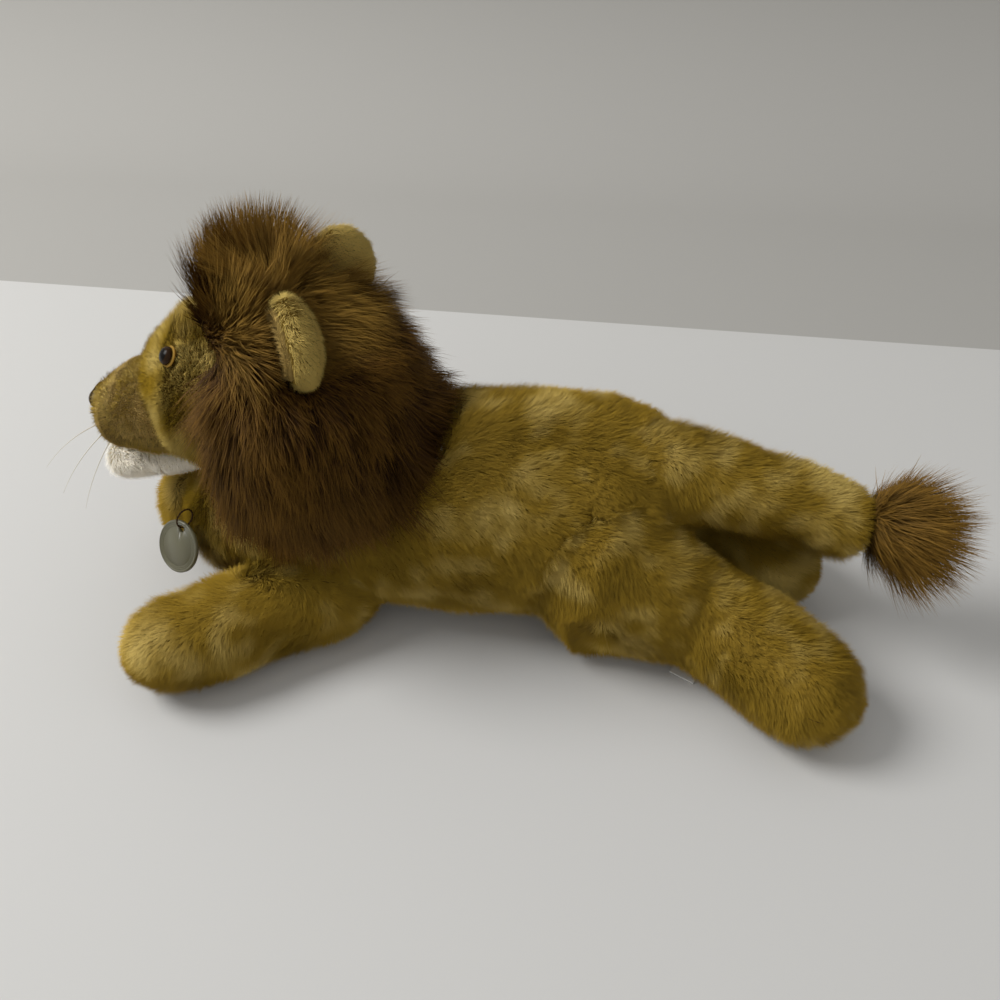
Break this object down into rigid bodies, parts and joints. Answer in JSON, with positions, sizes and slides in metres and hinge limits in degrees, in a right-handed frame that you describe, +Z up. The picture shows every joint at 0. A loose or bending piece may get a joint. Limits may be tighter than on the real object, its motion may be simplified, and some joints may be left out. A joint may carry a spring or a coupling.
{
  "type": "plush lion",
  "caption": "Plush lion lying on its belly, sewn golden fur fabric with a brown mane, tail tuft, turning legs, head, ears and tail, and a hanging badge.",
  "frame": {"origin": "on the surface that the lion lies on, under the middle of the belly", "axes": "-X the way the nose points, +X the tail, -Y the lion's left side, +Z up"},
  "size_m": [0.4011, 0.1682, 0.185],
  "materials": {
    "golden_plush": "short fur fabric, golden olive",
    "pale_plush": "short fur fabric, paler gold",
    "brown_long_pile": "long shaggy pile, dark brown with lighter tips",
    "tan_velour": "very short pile, brownish tan",
    "cream_plush": "short fur fabric, cream",
    "fibre_stuffing": "white polyester fibre",
    "pellet_bag_cloth": "plain cotton bag of plastic pellets",
    "brown_thread": "twisted sewing thread, dark brown",
    "nose_leatherette": "soft matt leatherette, dark olive brown",
    "eye_plastic": "glossy black dome",
    "amber_felt": "felt disc, amber",
    "washer_plastic": "plain moulded washer, inside the head",
    "badge_plastic": "bare grey translucent plate with a grooved rim",
    "label_satin": "bare white satin ribbon",
    "whisker_nylon": "clear nylon strand"
  },
  "bodies": {
    "torso": {"torso_cover": "golden_plush", "torso_stuffing": "fibre_stuffing", "belly_pellet_bag": "pellet_bag_cloth", "badge_thread": "brown_thread"},
    "front_leg_left": {"front_leg_left_cover": "golden_plush", "front_leg_left_stuffing": "fibre_stuffing", "front_leg_left_pellets": "pellet_bag_cloth", "front_leg_left_toe_stitch_1": "brown_thread", "front_leg_left_toe_stitch_2": "brown_thread"},
    "front_leg_right": {"front_leg_right_cover": "golden_plush", "front_leg_right_stuffing": "fibre_stuffing", "front_leg_right_pellets": "pellet_bag_cloth", "front_leg_right_toe_stitch_1": "brown_thread", "front_leg_right_toe_stitch_2": "brown_thread"},
    "hind_leg_left": {"hind_leg_left_cover": "golden_plush", "hind_leg_left_stuffing": "fibre_stuffing", "hind_leg_left_pellets": "pellet_bag_cloth", "hind_leg_left_toe_stitch_1": "brown_thread", "hind_leg_left_toe_stitch_2": "brown_thread", "sewn_label": "label_satin"},
    "hind_leg_right": {"hind_leg_right_cover": "golden_plush", "hind_leg_right_stuffing": "fibre_stuffing", "hind_leg_right_pellets": "pellet_bag_cloth", "hind_leg_right_toe_stitch_1": "brown_thread", "hind_leg_right_toe_stitch_2": "brown_thread"},
    "tail": {"tail_cover": "pale_plush", "tail_stuffing": "fibre_stuffing", "tail_tuft": "brown_long_pile"},
    "badge": {"badge": "badge_plastic"},
    "neck": {"neck_stuffing": "fibre_stuffing"},
    "head": {"head_cover": "golden_plush", "head_stuffing": "fibre_stuffing", "muzzle_panel": "tan_velour", "mouth_seam": "brown_thread", "chin_panel": "cream_plush", "nose": "nose_leatherette", "mane": "brown_long_pile", "eye_left": "eye_plastic", "eye_liner_left": "amber_felt", "eye_washer_left": "washer_plastic", "eye_right": "eye_plastic", "eye_liner_right": "amber_felt", "eye_washer_right": "washer_plastic", "whisker_left_1": "whisker_nylon", "whisker_left_2": "whisker_nylon", "whisker_left_3": "whisker_nylon", "whisker_right_1": "whisker_nylon", "whisker_right_2": "whisker_nylon", "whisker_right_3": "whisker_nylon"},
    "ear_left": {"ear_left_back": "golden_plush", "ear_left_lining": "pale_plush"},
    "ear_right": {"ear_right_back": "golden_plush", "ear_right_lining": "pale_plush"}
  },
  "joints": [
    {"name": "front_leg_left_swing", "type": "hinge", "parent": "torso", "child": "front_leg_left", "pos_m": [-0.057, -0.037, 0], "axis": [0, 0, 1], "range_deg": [-9, 15], "stiffness_Nm_per_rad": 0.05},
    {"name": "front_leg_right_swing", "type": "hinge", "parent": "torso", "child": "front_leg_right", "pos_m": [-0.057, 0.037, 0], "axis": [0, 0, 1], "range_deg": [-24, 0], "stiffness_Nm_per_rad": 0.05},
    {"name": "hind_leg_left_swing", "type": "hinge", "parent": "torso", "child": "hind_leg_left", "pos_m": [0.068, -0.0315, 0], "axis": [0, 0, 1], "range_deg": [-18, 0], "stiffness_Nm_per_rad": 0.05},
    {"name": "hind_leg_right_swing", "type": "hinge", "parent": "torso", "child": "hind_leg_right", "pos_m": [0.068, 0.0315, 0], "axis": [0, 0, 1], "range_deg": [0, 24], "stiffness_Nm_per_rad": 0.05},
    {"name": "tail_swing", "type": "hinge", "parent": "torso", "child": "tail", "pos_m": [0.096, 0, 0], "axis": [0, 0, 1], "range_deg": [-10, 12], "stiffness_Nm_per_rad": 0.03},
    {"name": "badge_swing", "type": "hinge", "parent": "torso", "child": "badge", "pos_m": [-0.12608, -0.03308, 0.04975], "axis": [0.8829, -0.4695, 0], "range_deg": [-20, 0]},
    {"name": "head_turn", "type": "hinge", "parent": "torso", "child": "neck", "pos_m": [-0.069, 0, 0.108], "axis": [0, 0, 1], "range_deg": [-20, 20], "stiffness_Nm_per_rad": 0.1},
    {"name": "head_nod", "type": "hinge", "parent": "neck", "child": "head", "pos_m": [-0.069, 0, 0.108], "axis": [0, 1, 0], "range_deg": [0, 15], "stiffness_Nm_per_rad": 0.1},
    {"name": "ear_left_fold", "type": "hinge", "parent": "head", "child": "ear_left", "pos_m": [-0.06307, -0.02416, 0.14444], "axis": [-0.382, 0.6616, 0.6452], "range_deg": [-15, 15], "stiffness_Nm_per_rad": 0.004},
    {"name": "ear_right_fold", "type": "hinge", "parent": "head", "child": "ear_right", "pos_m": [-0.0631, 0.02926, 0.14024], "axis": [0.3348, 0.5798, -0.7428], "range_deg": [-15, 15], "stiffness_Nm_per_rad": 0.004}
  ]
}
